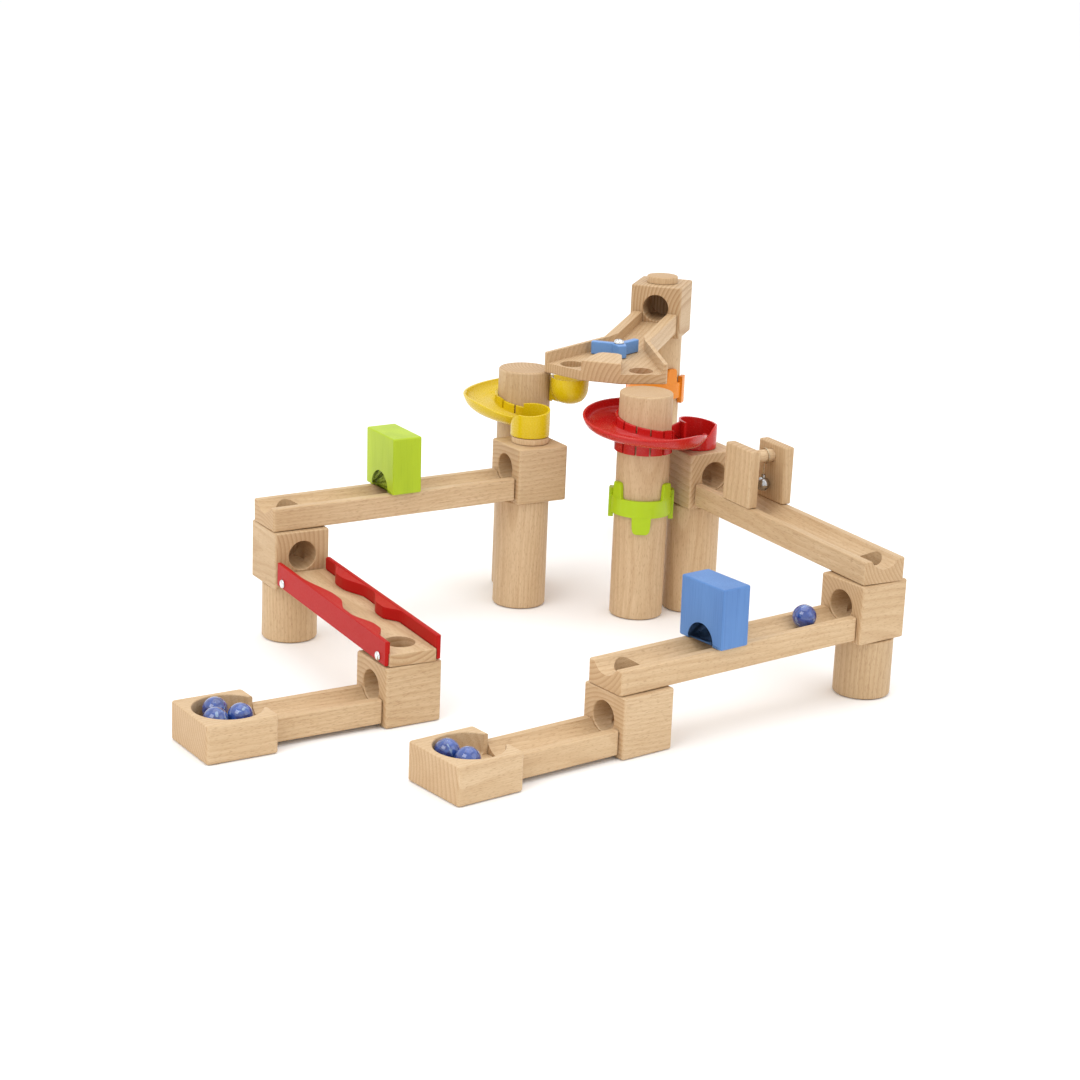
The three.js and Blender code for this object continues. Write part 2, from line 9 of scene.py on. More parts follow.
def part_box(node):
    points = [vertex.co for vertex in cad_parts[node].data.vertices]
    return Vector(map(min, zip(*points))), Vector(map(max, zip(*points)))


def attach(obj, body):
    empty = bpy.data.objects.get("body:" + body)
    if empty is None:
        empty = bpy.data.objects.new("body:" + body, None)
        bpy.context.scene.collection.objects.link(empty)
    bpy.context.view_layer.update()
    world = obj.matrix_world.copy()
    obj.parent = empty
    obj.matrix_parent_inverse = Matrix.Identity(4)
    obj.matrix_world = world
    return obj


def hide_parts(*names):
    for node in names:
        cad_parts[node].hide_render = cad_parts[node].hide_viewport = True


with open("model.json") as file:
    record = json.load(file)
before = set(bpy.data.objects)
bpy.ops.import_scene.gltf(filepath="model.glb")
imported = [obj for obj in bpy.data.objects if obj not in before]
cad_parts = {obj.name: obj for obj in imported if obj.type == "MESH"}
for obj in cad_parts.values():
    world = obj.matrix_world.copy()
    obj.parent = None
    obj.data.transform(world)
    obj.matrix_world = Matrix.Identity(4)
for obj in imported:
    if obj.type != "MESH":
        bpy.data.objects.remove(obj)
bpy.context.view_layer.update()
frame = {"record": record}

# ---------- sizes in millimetres, the same as the CAD part's ----------
GAP = 0.3
CUBE = 40
BORE_R = 10
BORE_AXIS_Z = 23
COLUMN_R = 19
RAMP_W, RAMP_H = 33, 16
RAMP_START = CUBE / 2 + GAP
GROOVE_R, GROOVE_DEPTH = 12.5, 6.5
LEDGE = 2.8
TONGUE_HALF, TONGUE_LOW, TONGUE_TOP = 8, 1, 6
BOARD_T, BOARD_LEDGE, BOARD_START, BOARD_END = 8.3, 4, CUBE / 2 + 3 * GAP, 191.5
RAIL_START, RAIL_IN, RAIL_OUT, RAIL_LEVEL = 22.5, 16.8, 19.4, 16.2
SCREW_X, SCREW_Z = (32, 181), 4.8
TRAY_ALONG, TRAY_ACROSS, TRAY_HIGH = 48, 52, 25
BOWL_R, BOWL_X, BOWL_FLOOR, MOUTH_HALF = 21.8, 2, 11.5, 10.5
MARBLE_R = 8
ARCH_HALF, ARCH_BORE_R, ARCH_HIGH, ARCH_ALONG = 20.5, 11, 40, 22
SWITCH_T, SWITCH_FLOOR, SWITCH_YAW, SWITCH_PITCH = 15.1, 7.2, -105, 1.85
PIN_S, LEVER_T, LEVER_REST = 115, 9.5, 32
GATE_ALONG, GATE_HIGH, GATE_INNER, GATE_THICK, GATE_PLACE = 32, 40.5, 10.25, 8, 72.5
DOWEL_R, DOWEL_Z = 4.5, GATE_HIGH - 8.5
BELL_R, BELL_WALL, BELL_Y, BELL_DROP = 5, 0.9, 4.7, 20.3
WIRE_R, WIRE_LOOP = 0.4, 5.3
CUP_R, RING_R, RING_OUT, SWEEP = 34.5, 43.8, 14, 295
COLLAR_IN, COLLAR_OUT = 19.3, 21.3
CLIP_IN, CLIP_OUT, BAND_LOW, BAND_HIGH, HOOK_LOW, HOOK_HIGH = 19.3, 21.9, 12, 24.5, 7.5, 29

LEFT_TOP, LEFT_MID, LEFT_LOW = (-30, 53, 80), (-191, -44, 40), (-106, -193, 0)
RIGHT_TOP, RIGHT_MID, RIGHT_LOW = (92, 60, 80), (195, -110, 40), (39, -230, 0)
START = (67, 243, 164.2)
TRAY_LEFT, TRAY_RIGHT = (-207.8, -259.3, 0), (-58.5, -308, 0)
FRONT_TALL, LEFT_TALL, BACK_TALL = (51, 38, 0), (-36, 99, 0), (65.5, 243, 0)
TALL_H = 163.9

# The plan above sits in the CAD frame at a shift that the tall front column gives.
low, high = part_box("column_front_tall")
SHIFT = Vector(((low.x + high.x) * 500 - FRONT_TALL[0], (low.y + high.y) * 500 - FRONT_TALL[1], 0))
TO_FRAME = Matrix.Scale(0.001, 4) @ Matrix.Translation(SHIFT)


# ---------- solid helpers ----------
def mesh_from(verts, faces):
    """A mesh with its shared points merged and its faces pointing out."""
    me = bpy.data.meshes.new("solid")
    me.from_pydata([tuple(v) for v in verts], [], faces)
    bm = bmesh.new()
    bm.from_mesh(me)
    bmesh.ops.remove_doubles(bm, verts=bm.verts, dist=1e-5)
    bmesh.ops.recalc_face_normals(bm, faces=bm.faces)
    bm.to_mesh(me)
    bm.free()
    return me


def moved(me, matrix):
    out = me.copy()
    out.transform(matrix)
    return out


def shift(me, x, y, z):
    return moved(me, Matrix.Translation((x, y, z)))


def turn(me, axis, degrees):
    return moved(me, Matrix.Rotation(math.radians(degrees), 4, axis))


def combine(a, b, how):
    """The boolean of two meshes, by a modifier on objects that are then thrown away."""
    objects = []
    for me in (a, b):
        ob = bpy.data.objects.new("temp", me)
        bpy.context.scene.collection.objects.link(ob)
        objects.append(ob)
    mod = objects[0].modifiers.new("join", "BOOLEAN")
    mod.operation = how
    mod.solver = "MANIFOLD"
    mod.object = objects[1]
    bpy.context.view_layer.update()
    graph = bpy.context.evaluated_depsgraph_get()
    result = bpy.data.meshes.new_from_object(objects[0].evaluated_get(graph))
    for ob in objects:
        bpy.data.objects.remove(ob)
    return result


def cut(a, *tools):
    for tool in tools:
        a = combine(a, tool, "DIFFERENCE")
    return a


def join(a, *parts):
    for part in parts:
        a = combine(a, part, "UNION")
    return a


def area2(points):
    """Twice the area of an outline, positive when it runs anticlockwise."""
    return sum(
        points[i - 1][0] * points[i][1] - points[i][0] * points[i - 1][1] for i in range(len(points))
    )


def inset(points, distance):
    """The outline moved inwards by a distance; the outline runs anticlockwise."""
    out = []
    count = len(points)
    for i, p in enumerate(points):
        a = Vector(points[i - 1])
        b = Vector(p)
        c = Vector(points[(i + 1) % count])
        d1 = (b - a).normalized()
        d2 = (c - b).normalized()
        n1 = Vector((-d1.y, d1.x))
        n2 = Vector((-d2.y, d2.x))
        out.append(b + (n1 + n2) * (distance / max(1 + n1.dot(n2), 0.2)))
    return out


def corner(radius, steps):
    """A quarter round as (inwards, upwards) pairs, from the bottom face to the side."""
    angles = [math.pi / 2 * k / steps for k in range(steps + 1)]
    return [(radius * (1 - math.sin(a)), radius * (1 - math.cos(a))) for a in angles]


def rounded(points, radius, steps=4):
    """The outline with every outward corner of 25 degrees or more rounded."""
    if area2(points) < 0:
        points = points[::-1]
    out = []
    count = len(points)
    for i, p in enumerate(points):
        b = Vector(p)
        d1 = (b - Vector(points[i - 1])).normalized()
        d2 = (Vector(points[(i + 1) % count]) - b).normalized()
        bend = -d1.angle_signed(d2)
        if bend < math.radians(25):
            out.append(b)
            continue
        reach = radius * math.tan(bend / 2)
        start = b - d1 * reach
        centre = start + Vector((-d1.y, d1.x)) * radius
        arm = start - centre
        for k in range(steps + 1):
            c, s = math.cos(bend * k / steps), math.sin(bend * k / steps)
            out.append(centre + Vector((arm.x * c - arm.y * s, arm.x * s + arm.y * c)))
    return out


def swept(loops):
    """A solid through a row of equal loops, closed by the first and the last."""
    n = len(loops[0])
    verts = [p for loop in loops for p in loop]
    end = (len(loops) - 1) * n
    faces = [list(range(n))[::-1], list(range(end, end + n))]
    for i in range(len(loops) - 1):
        for k in range(n):
            j = (k + 1) % n
            faces.append((i * n + k, i * n + j, (i + 1) * n + j, (i + 1) * n + k))
    return mesh_from(verts, faces)


def prism(points, height, edge=0.0, steps=3):
    """An outline raised to a height, with its top and bottom edges rounded."""
    points = [Vector((p[0], p[1])) for p in points]
    if area2(points) < 0:
        points = points[::-1]
    levels = corner(edge, steps) if edge else [(0, 0)]
    levels += [(d, height - z) for d, z in reversed(levels)]
    return swept([[(p.x, p.y, z) for p in (inset(points, d) if d else points)] for d, z in levels])


def block(x0, x1, width, height, edge=1.2):
    """A softened block from x0 to x1, centred across, standing on z = 0."""
    w = width / 2
    outline = rounded([(x0, -w), (x1, -w), (x1, w), (x0, w)], edge * 1.75, 6)
    return prism(outline, height, edge, 4)


def cutter(x0, x1, y0, y1, z0, z1):
    """A sharp box."""
    return shift(prism([(x0, y0), (x1, y0), (x1, y1), (x0, y1)], z1 - z0), 0, 0, z0)


def turned(profile, sides=64):
    """A solid of revolution about Z from (radius, z) pairs that start and end on the axis."""
    inner = profile[1:-1]
    verts = [(0, 0, profile[0][1])]
    for r, z in inner:
        for k in range(sides):
            a = 2 * math.pi * k / sides
            verts.append((r * math.cos(a), r * math.sin(a), z))
    verts.append((0, 0, profile[-1][1]))
    last = len(verts) - 1
    faces = []
    for k in range(sides):
        j = (k + 1) % sides
        faces.append((0, 1 + j, 1 + k))
        top = 1 + (len(inner) - 1) * sides
        faces.append((last, top + k, top + j))
        for i in range(len(inner) - 1):
            a, b = 1 + i * sides, 1 + (i + 1) * sides
            faces.append((a + k, a + j, b + j, b + k))
    return mesh_from(verts, faces)


def rod(radius, z0, z1, sides=56):
    return turned([(0, z0), (radius, z0), (radius, z1), (0, z1)], sides)


def polar(radius, degrees, z=None):
    a = math.radians(degrees)
    flat = (radius * math.cos(a), radius * math.sin(a))
    return flat if z is None else (*flat, z)


def sector(inner, outer, a0, a1, z0, z1, steps=24, edge=0.0):
    outer_side = [polar(outer, a0 + (a1 - a0) * i / steps) for i in range(steps + 1)]
    inner_side = [polar(inner, a0 + (a1 - a0) * i / steps) for i in range(steps, -1, -1)]
    return shift(prism(outer_side + inner_side, z1 - z0, edge, 2), 0, 0, z0)


def round_rim(radius, face, depth, flare):
    """The cutter for a rounded lip round a bore whose mouth is at z = face."""
    points = [(0, face - depth)]
    points += [(radius + flare * out, face - depth * down) for down, out in corner(1, 4)]
    points += [(radius + flare, face + 1), (0, face + 1)]
    return turned(points, 56)


# ---------- track frames ----------
def heading(a, b):
    return math.degrees(math.atan2(b[1] - a[1], b[0] - a[0]))


def distance(a, b):
    return math.hypot(b[0] - a[0], b[1] - a[1])


def track_frame(start, yaw, x0, x1, z0, z1):
    """The place (origin, yaw, pitch) of a piece that runs out from start and falls from z0 to z1."""
    pitch = math.degrees(math.atan2(z0 - z1, x1 - x0))
    return (start[0], start[1], z0 + x0 * math.tan(math.radians(pitch))), yaw, pitch


def long_frame(a, b):
    """The place of a ramp that leaves cube a and ends over cube b."""
    return track_frame(a, heading(a, b), RAMP_START, distance(a, b) + CUBE / 2, a[2] + LEDGE, a[2] + GAP)


def flat_frame(place, yaw):
    return tuple(place), yaw, 0.0


def frame_matrix(place):
    origin, yaw, pitch = place
    turn_z = Matrix.Rotation(math.radians(yaw), 4, "Z")
    turn_y = Matrix.Rotation(math.radians(pitch), 4, "Y")
    return Matrix.Translation(origin) @ turn_z @ turn_y


YAW_ZIGZAG = heading(LEFT_MID, LEFT_LOW)
SWITCH_EXIT = polar(RAMP_START, SWITCH_YAW)
SWITCH_ORIGIN = (START[0] + SWITCH_EXIT[0], START[1] + SWITCH_EXIT[1], START[2] + 4.6)
SWITCH_FRAME = (SWITCH_ORIGIN, SWITCH_YAW, SWITCH_PITCH)


# ---------- node materials ----------
class Look:
    """Builds one node material, with short names for the nodes it uses."""

    def __init__(self, name):
        self.material = bpy.data.materials.new(name)
        self.material.use_nodes = True
        self.tree = self.material.node_tree
        self.shader = self.tree.nodes["Principled BSDF"]

    def node(self, kind, inputs=None, **settings):
        made = self.tree.nodes.new(kind)
        for key, value in settings.items():
            setattr(made, key, value)
        for key, value in (inputs or {}).items():
            if isinstance(value, bpy.types.NodeSocket):
                self.tree.links.new(value, made.inputs[key])
            else:
                made.inputs[key].default_value = value
        return made

    def local(self, place=((0, 0, 0), 0, 0), upright=False):
        """Coordinates of the piece in its own frame, in metres, with X along the grain."""
        origin, yaw, pitch = place
        centre = (Vector(origin) + SHIFT) * 0.001
        tilt = pitch - 90 if upright else pitch
        coords = self.node("ShaderNodeTexCoord").outputs["Object"]
        return self.node(
            "ShaderNodeMapping",
            {"Vector": coords, "Location": centre, "Rotation": (0, math.radians(tilt), math.radians(yaw))},
            vector_type="TEXTURE",
        ).outputs["Vector"]

    def stretch(self, vector, scale, offset=(0, 0, 0)):
        return self.node(
            "ShaderNodeMapping", {"Vector": vector, "Scale": scale, "Location": offset}
        ).outputs["Vector"]

    def noise(self, vector, scale=1.0, detail=2.0, rough=0.5, distortion=0.0):
        inputs = {"Vector": vector, "Scale": scale, "Detail": detail, "Roughness": rough}
        inputs["Distortion"] = distortion
        return self.node("ShaderNodeTexNoise", inputs).outputs["Fac"]

    def math(self, how, a, b=0.0, clamp=False):
        return self.node("ShaderNodeMath", {0: a, 1: b}, operation=how, use_clamp=clamp).outputs[0]

    def span(self, value, low_in, high_in, low_out=0.0, high_out=1.0):
        return self.node(
            "ShaderNodeMapRange",
            {"Value": value, "From Min": low_in, "From Max": high_in, "To Min": low_out, "To Max": high_out},
        ).outputs[0]

    def blend(self, factor, a, b, how="MIX"):
        made = self.node("ShaderNodeMix", data_type="RGBA", blend_type=how)
        for index, value in ((0, factor), (6, a), (7, b)):
            if isinstance(value, bpy.types.NodeSocket):
                self.tree.links.new(value, made.inputs[index])
            else:
                made.inputs[index].default_value = value if index == 0 else (*value, 1.0)
        return made.outputs[2]

    def bump(self, height, distance, strength=0.5):
        normal = self.node(
            "ShaderNodeBump", {"Height": height, "Distance": distance, "Strength": strength}
        ).outputs["Normal"]
        self.tree.links.new(normal, self.shader.inputs["Normal"])

    def set(self, **values):
        for key, value in values.items():
            socket = self.shader.inputs[key.replace("_", " ")]
            if isinstance(value, bpy.types.NodeSocket):
                self.tree.links.new(value, socket)
            else:
                socket.default_value = (*value, 1.0) if isinstance(value, tuple) else value
        return self.material


# Beech colours, and the growth rings: how far off the pith line lies, how far the rings wander and how far
# apart they are, in metres.
BEECH_PALE = (0.68, 0.508, 0.318)
BEECH_MID = (0.57, 0.40, 0.228)
BEECH_RING = (0.45, 0.27, 0.13)
BEECH_FLECK = (0.34, 0.185, 0.085)
PITH_AWAY, RING_WANDER, RING_CLOSE, RING_WIDE = 0.05, 0.016, 0.0026, 0.0034
GOLDEN_ANGLE = 2.399


def beech(name, place, upright=False, seed=0.0, tone=1.0, rings=0.5):
    """Beech: growth rings round a pith line along X, fine fibres, short ray flecks and darker end grain."""
    look = Look(name)
    at = look.local(place, upright)
    drift = look.noise(look.stretch(at, (5, 11, 11), (seed, seed * 1.7, seed * 0.6)), detail=2)
    angle = seed * GOLDEN_ANGLE
    pith = (0, -PITH_AWAY * math.cos(angle), -PITH_AWAY * math.sin(angle))
    across = look.node("ShaderNodeVectorMath", {0: at, 1: (0, 1, 1)}, operation="MULTIPLY").outputs[0]
    arm = look.node("ShaderNodeVectorMath", {0: across, 1: pith}, operation="SUBTRACT").outputs[0]
    radius = look.node("ShaderNodeVectorMath", {0: arm}, operation="LENGTH").outputs["Value"]
    wander = look.math("MULTIPLY", drift, RING_WANDER)
    years = look.noise(look.stretch(at, (3, 8, 8), (0, seed, seed)), detail=1)
    spacing = look.span(years, 0.3, 0.7, RING_CLOSE, RING_WIDE)
    count = look.math("DIVIDE", look.math("ADD", radius, wander), spacing)
    phase = look.math("FRACT", count)
    rise = look.math("POWER", phase, 2.5)
    ring = look.math("MULTIPLY", rise, look.span(phase, 1.0, 0.86))
    ring = look.math("MULTIPLY", ring, 1.9, True)
    fibre = look.noise(look.stretch(at, (45, 1500, 1500), (seed, 0, 0)), detail=3, rough=0.65)
    fleck_noise = look.noise(look.stretch(at, (300, 2000, 2000), (0, seed, 0)), detail=1)
    fleck = look.span(fleck_noise, 0.57, 0.68)
    broad = look.noise(look.stretch(at, (7, 34, 34), (seed * 3, 0, seed)), detail=3, rough=0.6)
    facing = look.node("ShaderNodeTexCoord").outputs["Normal"]
    axis = Vector((1, 0, 0))
    axis.rotate(Euler((0, math.radians(place[2] - (90 if upright else 0)), math.radians(place[1]))))
    along = look.node("ShaderNodeVectorMath", {0: facing, 1: axis}, operation="DOT_PRODUCT").outputs["Value"]
    end = look.span(look.math("ABSOLUTE", along), 0.72, 0.93)
    colour = look.blend(look.span(broad, 0.25, 0.75), BEECH_PALE, BEECH_MID)
    strength = look.math("MULTIPLY", ring, look.math("ADD", look.math("MULTIPLY", end, 0.42), rings))
    colour = look.blend(strength, colour, BEECH_RING)
    colour = look.blend(look.span(fibre, 0.35, 0.75, 0.0, 0.30), colour, BEECH_MID, "MULTIPLY")
    colour = look.blend(look.math("MULTIPLY", fleck, 0.42), colour, BEECH_FLECK)
    colour = look.blend(look.math("MULTIPLY", end, 0.26), colour, BEECH_RING)
    if tone != 1.0:
        colour = look.blend(1.0, colour, (tone, tone * 0.985, tone * 0.96), "MULTIPLY")
    height = look.math("SUBTRACT", look.math("MULTIPLY", fibre, 0.8), look.math("MULTIPLY", fleck, 0.35))
    look.bump(height, 0.00016, 0.35)
    return look.set(
        Base_Color=colour,
        Roughness=look.span(fibre, 0.2, 0.8, 0.46, 0.66),
        Specular_IOR_Level=0.35,
    )


def plastic(name, base, dark, rough, gloss=0.4):
    """Moulded plastic: faint flow marks, a slightly uneven gloss and shallow moulding waviness."""
    look = Look(name)
    at = look.local()
    flow = look.noise(look.stretch(at, (60, 60, 140)), detail=3, distortion=0.6)
    grain = look.noise(at, scale=900, detail=2)
    colour = look.blend(look.span(flow, 0.3, 0.75, 0.0, 0.22), base, dark)
    height = look.math("ADD", look.math("MULTIPLY", flow, 0.4), look.math("MULTIPLY", grain, 0.08))
    look.bump(height, 0.0001, 0.12)
    return look.set(
        Base_Color=colour,
        Roughness=look.span(grain, 0.3, 0.7, rough - 0.05, rough + 0.08),
        Specular_IOR_Level=gloss,
    )


def paint(name, base, dark, place):
    """Stained wood: the grain still shows faintly through an even satin colour."""
    look = Look(name)
    at = look.local(place, True)
    fibre = look.noise(look.stretch(at, (38, 1100, 1100)), detail=3, rough=0.6)
    broad = look.noise(look.stretch(at, (14, 60, 60)), detail=2)
    colour = look.blend(look.span(broad, 0.3, 0.7, 0.0, 0.6), base, dark)
    colour = look.blend(look.span(fibre, 0.5, 0.8, 0.0, 0.22), colour, dark, "MULTIPLY")
    look.bump(fibre, 0.00018, 0.3)
    return look.set(
        Base_Color=colour,
        Roughness=look.span(fibre, 0.3, 0.7, 0.38, 0.5),
        Specular_IOR_Level=0.4,
    )


def chrome(name, shade=0.78, rough=0.12, warm=1.0):
    """Bright metal with fine scuffs; warm below one turns it from steel towards brass."""
    look = Look(name)
    at = look.local()
    scuff = look.noise(at, scale=1600, detail=4, rough=0.7)
    bright = (shade, shade * warm, shade * warm ** 3)
    scuffed = tuple(0.9 * level for level in bright)
    tint = look.blend(look.span(scuff, 0.3, 0.7), bright, scuffed)
    look.bump(scuff, 0.00002, 0.15)
    return look.set(
        Base_Color=tint,
        Metallic=1.0,
        Roughness=look.span(scuff, 0.3, 0.8, rough * 0.6, rough * 1.8),
    )


def glass_marble(name, seed):
    """Blue marble glass with pale and dark veils twisted through it under a clear polished skin."""
    look = Look(name)
    at = look.local()
    twist = look.stretch(at, (1, 1, 1), (seed, seed * 0.7, seed * 0.3))
    veil = look.noise(twist, scale=95, detail=3, rough=0.55, distortion=2.6)
    streak = look.noise(twist, scale=60, detail=2, distortion=4.5)
    colour = look.blend(look.span(veil, 0.35, 0.62), (0.010, 0.028, 0.17), (0.030, 0.085, 0.36))
    colour = look.blend(look.span(streak, 0.60, 0.68, 0.0, 0.55), colour, (0.36, 0.50, 0.66))
    return look.set(
        Base_Color=colour,
        Roughness=0.12,
        Coat_Weight=1.0,
        Coat_Roughness=0.03,
        IOR=1.5,
        Specular_IOR_Level=0.6,
    )


# ---------- pieces ----------
BODIES = frame["record"]["behaviour"]["bodies"]
BODY_OF = {node: body for body, nodes in BODIES.items() for node in nodes}


def piece(node, me, material, smooth=34):
    """Places a finished solid, in millimetres in the plan's frame, in the place of a CAD node."""
    me = moved(me, TO_FRAME)
    me.name = node + "_mesh"
    for poly in me.polygons:
        poly.use_smooth = True
    me.set_sharp_from_angle(angle=math.radians(smooth))
    me.materials.clear()
    me.materials.append(material)
    ob = bpy.data.objects.new("fine_" + node, me)
    bpy.context.scene.collection.objects.link(ob)
    weigh = ob.modifiers.new("weigh", "WEIGHTED_NORMAL")
    weigh.keep_sharp = True
    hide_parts(node)
    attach(ob, BODY_OF[node])
    return ob


def lay(me, place):
    """A piece modelled along X, laid in its place (origin, yaw, pitch)."""
    return moved(me, frame_matrix(place))


# ---------- columns and cubes ----------
def column(height):
    profile = [(0, 0)] + [(COLUMN_R - d, z) for d, z in corner(1.5, 4)]
    profile += [(r, height - z) for r, z in profile[:0:-1]] + [(0, height)]
    return turned(profile, 96)


COLUMNS = (
    ("column_left_short", (-191, -44, 0), CUBE - GAP, 1.3, 0.97),
    ("column_right_short", (198, -111, 0), CUBE - GAP, 2.1, 0.90),
    ("column_left_mid", (-34, 53, 0), 2 * CUBE - GAP, 3.4, 1.0),
    ("column_right_mid", (90, 59, 0), 2 * CUBE - GAP, 4.2, 0.97),
    ("column_left_tall", LEFT_TALL, TALL_H, 5.7, 0.93),
    ("column_front_tall", FRONT_TALL, TALL_H, 6.1, 1.0),
    ("column_back_tall", BACK_TALL, TALL_H, 7.9, 0.97),
)
for name, spot, tall, seed, tone in COLUMNS:
    wood = beech("beech_" + name, flat_frame(spot, seed * 70), True, seed, tone, 0.30)
    piece(name, shift(column(tall), *spot), wood)


def tongue(x0, x1):
    """The flat tongue that carries the end of a ramp."""
    return cutter(x0, x1, -TONGUE_HALF, TONGUE_HALF, TONGUE_LOW, TONGUE_TOP)


def tongue_slot(face, depth):
    """The cutter for a tongue's slot in a face at x = face."""
    half = TONGUE_HALF + GAP
    return cutter(face - depth, face + 1, -half, half, LEDGE + TONGUE_LOW - GAP, LEDGE + TONGUE_TOP + GAP)


def cube():
    """A cube with an entry bore in its top that turns into an exit bore in its front."""
    half = CUBE / 2
    entry = rod(BORE_R, 14, CUBE + 1)
    lip = round_rim(BORE_R, CUBE, 0.9, 0.7)
    bore = shift(turn(rod(BORE_R, -9.5, half + 1), "Y", 90), 0, 0, BORE_AXIS_Z)
    mouth = shift(turn(round_rim(BORE_R, half, 0.9, 0.7), "Y", 90), 0, 0, BORE_AXIS_Z)
    return cut(block(-half, half, CUBE, CUBE), entry, lip, bore, mouth, tongue_slot(half, 6.3))


CUBES = (
    ("cube_left_top", LEFT_TOP, heading(LEFT_TOP, LEFT_MID), 11.3, 0.94, 0.3),
    ("cube_left_mid", LEFT_MID, YAW_ZIGZAG + 1, 12.9, 0.93, 0.33),
    ("cube_left_low", LEFT_LOW, heading(LEFT_LOW, TRAY_LEFT), 13.6, 0.96, 0.3),
    ("cube_right_top", RIGHT_TOP, heading(RIGHT_TOP, RIGHT_MID), 14.2, 0.95, 0.36),
    ("cube_right_mid", RIGHT_MID, heading(RIGHT_MID, RIGHT_LOW), 15.8, 0.97, 0.3),
    ("cube_right_low", RIGHT_LOW, heading(RIGHT_LOW, TRAY_RIGHT), 16.4, 1.0, 0.26),
    ("cube_start", START, SWITCH_YAW, 17.1, 0.90, 0.75),
)
CUBE_MESH = cube()
for name, spot, yaw, seed, tone, rings in CUBES:
    place = flat_frame(spot, yaw)
    piece(name, lay(CUBE_MESH, place), beech("beech_" + name, place, False, seed, tone, rings))

plug = [(0, 32), (9.2, 32), (9.6, 32.5), (9.6, CUBE + GAP), (12, CUBE + GAP), (12, 44.3)]
plug += [(11.8, 44.9), (11.4, 45.2), (10.8, 45.3), (0, 45.3)]
PLUG_WOOD = beech("beech_plug", flat_frame(START, 20), True, 18.3, 0.98, 0.3)
piece("start_plug", shift(turned(plug), *START), PLUG_WOOD)


# ---------- ramps ----------
def ramp(x0, x1, drop):
    """A grooved ramp with a tongue at its upper end, and a drop hole at x = drop unless that is zero."""
    groove = turn(rod(GROOVE_R, 0, x1 - x0 + 20, 96), "Y", 90)
    body = join(block(x0, x1, RAMP_W, RAMP_H, 1.0), tongue(x0 - 6, x0 + 2))
    body = cut(body, shift(groove, x0 - 10, 0, RAMP_H - GROOVE_DEPTH + GROOVE_R))
    if drop:
        body = cut(body, shift(rod(BORE_R, -1, RAMP_H + 1, 64), drop, 0, 0))
    return body


LONG_RAMPS = (
    ("ramp_left_long", LEFT_TOP, LEFT_MID, 21.7, 0.97),
    ("ramp_right_upper", RIGHT_TOP, RIGHT_MID, 22.5, 0.93),
    ("ramp_right_lower", RIGHT_MID, RIGHT_LOW, 23.1, 0.99),
)
for name, a, b, seed, tone in LONG_RAMPS:
    place = long_frame(a, b)
    d = distance(a, b)
    wood = beech("beech_" + name, place, False, seed, tone, 0.26)
    piece(name, lay(ramp(RAMP_START, d + CUBE / 2, d), place), wood)

SHORT_RAMPS = (
    ("ramp_left_short", LEFT_LOW, TRAY_LEFT, 24.4, 0.97),
    ("ramp_right_short", RIGHT_LOW, TRAY_RIGHT, 25.9, 0.98),
)
for name, a, b, seed, tone in SHORT_RAMPS:
    end = distance(a, b) - TRAY_ALONG / 2 - GAP
    place = ((a[0], a[1], LEDGE), heading(a, b), 0.0)
    body = join(ramp(RAMP_START, end, 0), tongue(end - 2, end + 6))
    piece(name, lay(body, place), beech("beech_" + name, place, False, seed, tone, 0.26))


# ---------- trays ----------
def tray():
    """A block with a round bowl, and a mouth in its front that lets the marbles in."""
    half = TRAY_ALONG / 2
    above = TRAY_HIGH + 5
    bowl = [(0, BOWL_FLOOR)] + [(BOWL_R - d, BOWL_FLOOR + z) for d, z in corner(2.5, 4)]
    bowl += [(BOWL_R, TRAY_HIGH - 0.8), (BOWL_R + 0.25, TRAY_HIGH - 0.3), (BOWL_R + 0.9, TRAY_HIGH + 0.3)]
    bowl += [(BOWL_R + 0.9, above), (0, above)]
    mouth = cutter(4, half + 1, -MOUTH_HALF, MOUTH_HALF, BOWL_FLOOR, above)
    body = block(-half, half, TRAY_ACROSS, TRAY_HIGH, 1.4)
    return cut(body, shift(turned(bowl, 96), BOWL_X, 0, 0), mouth, tongue_slot(half, 6.6))


TRAY_MESH = tray()
TRAYS = (
    ("tray_left", TRAY_LEFT, heading(LEFT_LOW, TRAY_LEFT) + 180, 31.2),
    ("tray_right", TRAY_RIGHT, heading(RIGHT_LOW, TRAY_RIGHT) + 180, 32.8),
)
for name, spot, yaw, seed in TRAYS:
    place = flat_frame(spot, yaw)
    piece(name, lay(TRAY_MESH, place), beech("beech_" + name, place, False, seed, 1.0, 0.24))


# ---------- zigzag board ----------
MID_Z = LEFT_MID[2]
ZIGZAG = track_frame(LEFT_MID, YAW_ZIGZAG, RAMP_START, BOARD_END, MID_Z + BOARD_LEDGE, MID_Z + GAP)


def ease(t):
    """Rises smoothly from 0 to 1 and stays level outside."""
    t = min(max(t, 0), 1)
    return t * t * (3 - 2 * t)


def wave_line(bumps, reach, x0, x1):
    """The inner edge of a rail: level, with bumps that rise and fall smoothly."""
    line = [(x0, RAIL_LEVEL)]
    for a, b, c, d in bumps:
        for start, stop, y0, y1 in ((a, b, RAIL_LEVEL, reach), (c, d, reach, RAIL_LEVEL)):
            for k in range(11):
                line.append((start + (stop - start) * k / 10, y0 + (y1 - y0) * ease(k / 10)))
    line.append((x1, RAIL_LEVEL))
    return line


